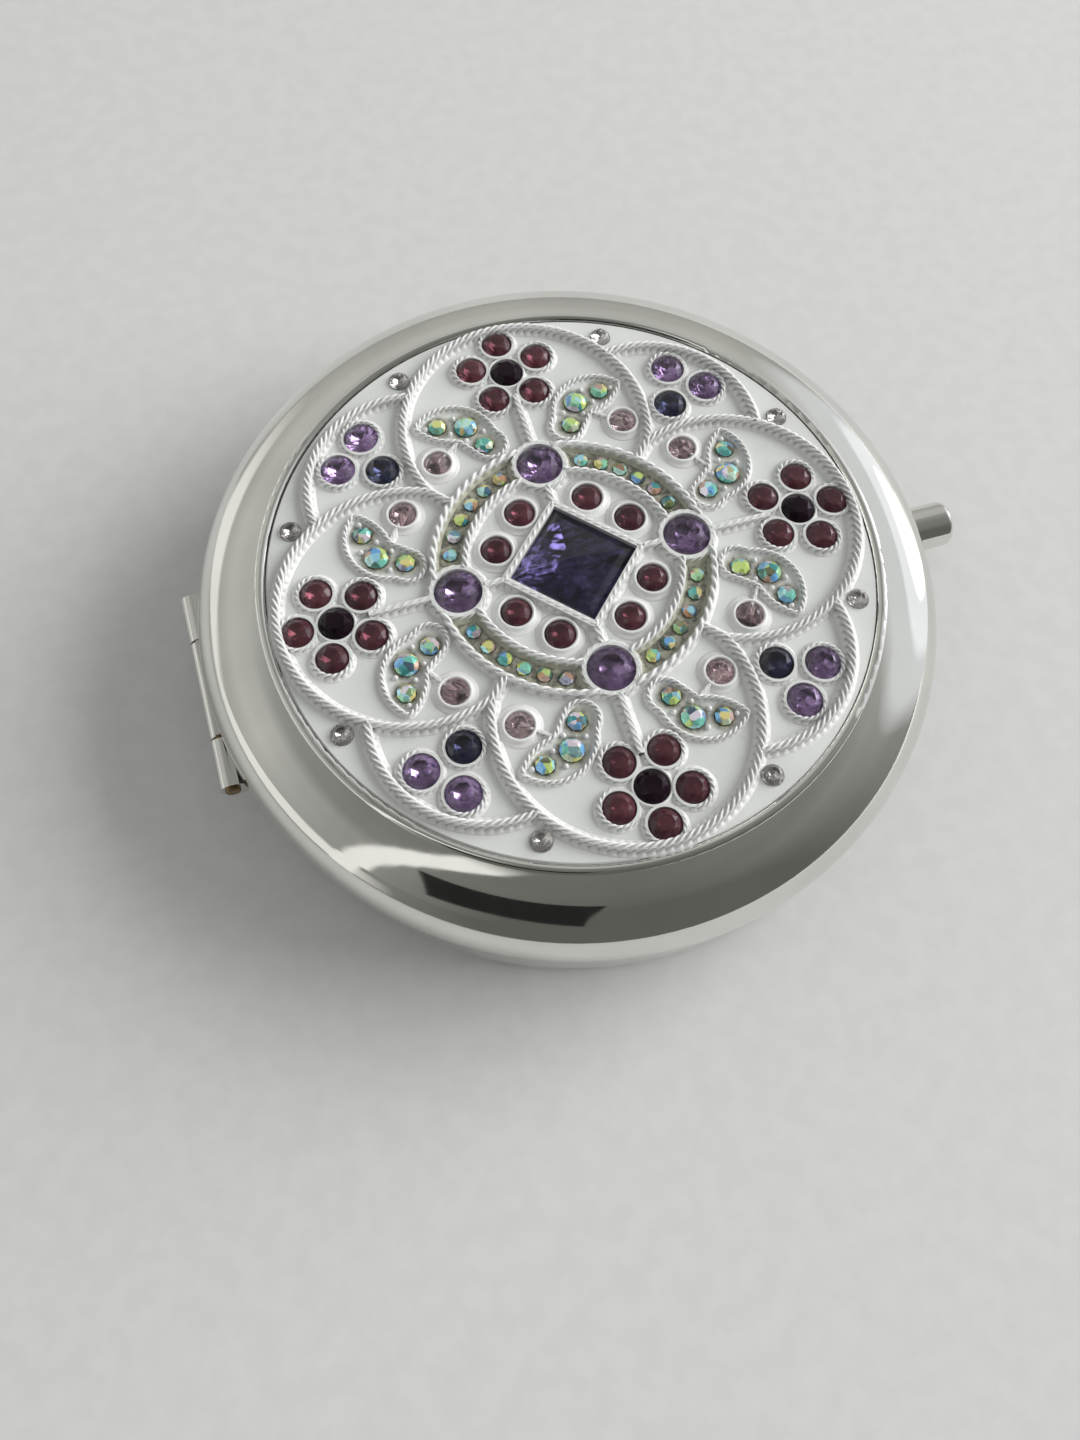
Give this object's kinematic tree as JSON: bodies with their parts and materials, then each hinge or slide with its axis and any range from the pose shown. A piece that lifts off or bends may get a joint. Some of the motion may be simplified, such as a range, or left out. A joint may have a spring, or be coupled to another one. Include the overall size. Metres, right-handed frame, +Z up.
{
  "type": "compact mirror",
  "caption": "Round folding compact mirror with a polished metal case, a white enamel plaque set with coloured stones, a barrel hinge and a push-button latch.",
  "frame": {"origin": "centre of the flat underside of the base", "axes": "+Z up through the closed case, +X towards the push-button, hinge barrel along Y at -X"},
  "size_m": [0.0844, 0.076, 0.0171],
  "materials": {
    "case_metal": "polished nickel-chrome plate",
    "hinge_metal": "satin plate",
    "pin_brass": "plain turned brass",
    "latch_steel": "plain sheet steel",
    "tray_silver": "silver-coloured satin plastic",
    "mirror_glass": "silvered glass",
    "tape": "foam tape",
    "white_enamel": "pearl-white enamel on cast metal",
    "stone_violet": "faceted foil-backed glass stone",
    "stone_plum_black": "faceted foil-backed glass stone",
    "stone_plum": "faceted foil-backed glass stone",
    "stone_lilac": "faceted foil-backed glass stone",
    "stone_navy": "faceted foil-backed glass stone",
    "stone_amethyst": "faceted foil-backed glass stone",
    "stone_aurora": "faceted foil-backed glass stone",
    "stone_garnet": "faceted foil-backed glass stone",
    "stone_rose": "faceted foil-backed glass stone",
    "stone_clear": "faceted foil-backed glass stone"
  },
  "bodies": {
    "base": {"base_shell": "case_metal", "base_tray": "tray_silver", "base_mirror": "mirror_glass", "base_mirror_tape": "tape", "base_hinge_leaf": "hinge_metal", "hinge_pin": "pin_brass", "latch_guide": "latch_steel", "latch_spring": "latch_steel"},
    "latch": {"push_button": "case_metal", "latch_slide": "latch_steel"},
    "lid": {"lid_shell": "case_metal", "lid_tray": "tray_silver", "lid_mirror": "mirror_glass", "lid_mirror_tape": "tape", "lid_hinge_leaf": "hinge_metal", "lid_catch": "latch_steel", "plaque": "white_enamel", "plaque_adhesive": "tape", "centre_stone": "stone_violet", "flower_centre_stones": "stone_plum_black", "flower_petal_stones": "stone_plum", "trefoil_violet_stones": "stone_lilac", "trefoil_dark_stones": "stone_navy", "ring_amethyst_stones": "stone_amethyst", "ring_aurora_stones": "stone_aurora", "garnet_stones": "stone_garnet", "leaf_aurora_stones": "stone_aurora", "bud_rose_stones": "stone_rose", "border_clear_stones": "stone_clear"}
  },
  "joints": [
    {"name": "lid_hinge", "type": "hinge", "parent": "base", "child": "lid", "pos_m": [-0.0378, 0, 0.0077], "axis": [0, -1, 0], "range_deg": [0, 150]},
    {"name": "button_press", "type": "slide", "parent": "base", "child": "latch", "axis": [-1, 0, 0], "range_m": [0, 0.001], "stiffness_N_per_m": 300, "springref_m": -0.003, "deforming": ["latch_spring"]}
  ]
}
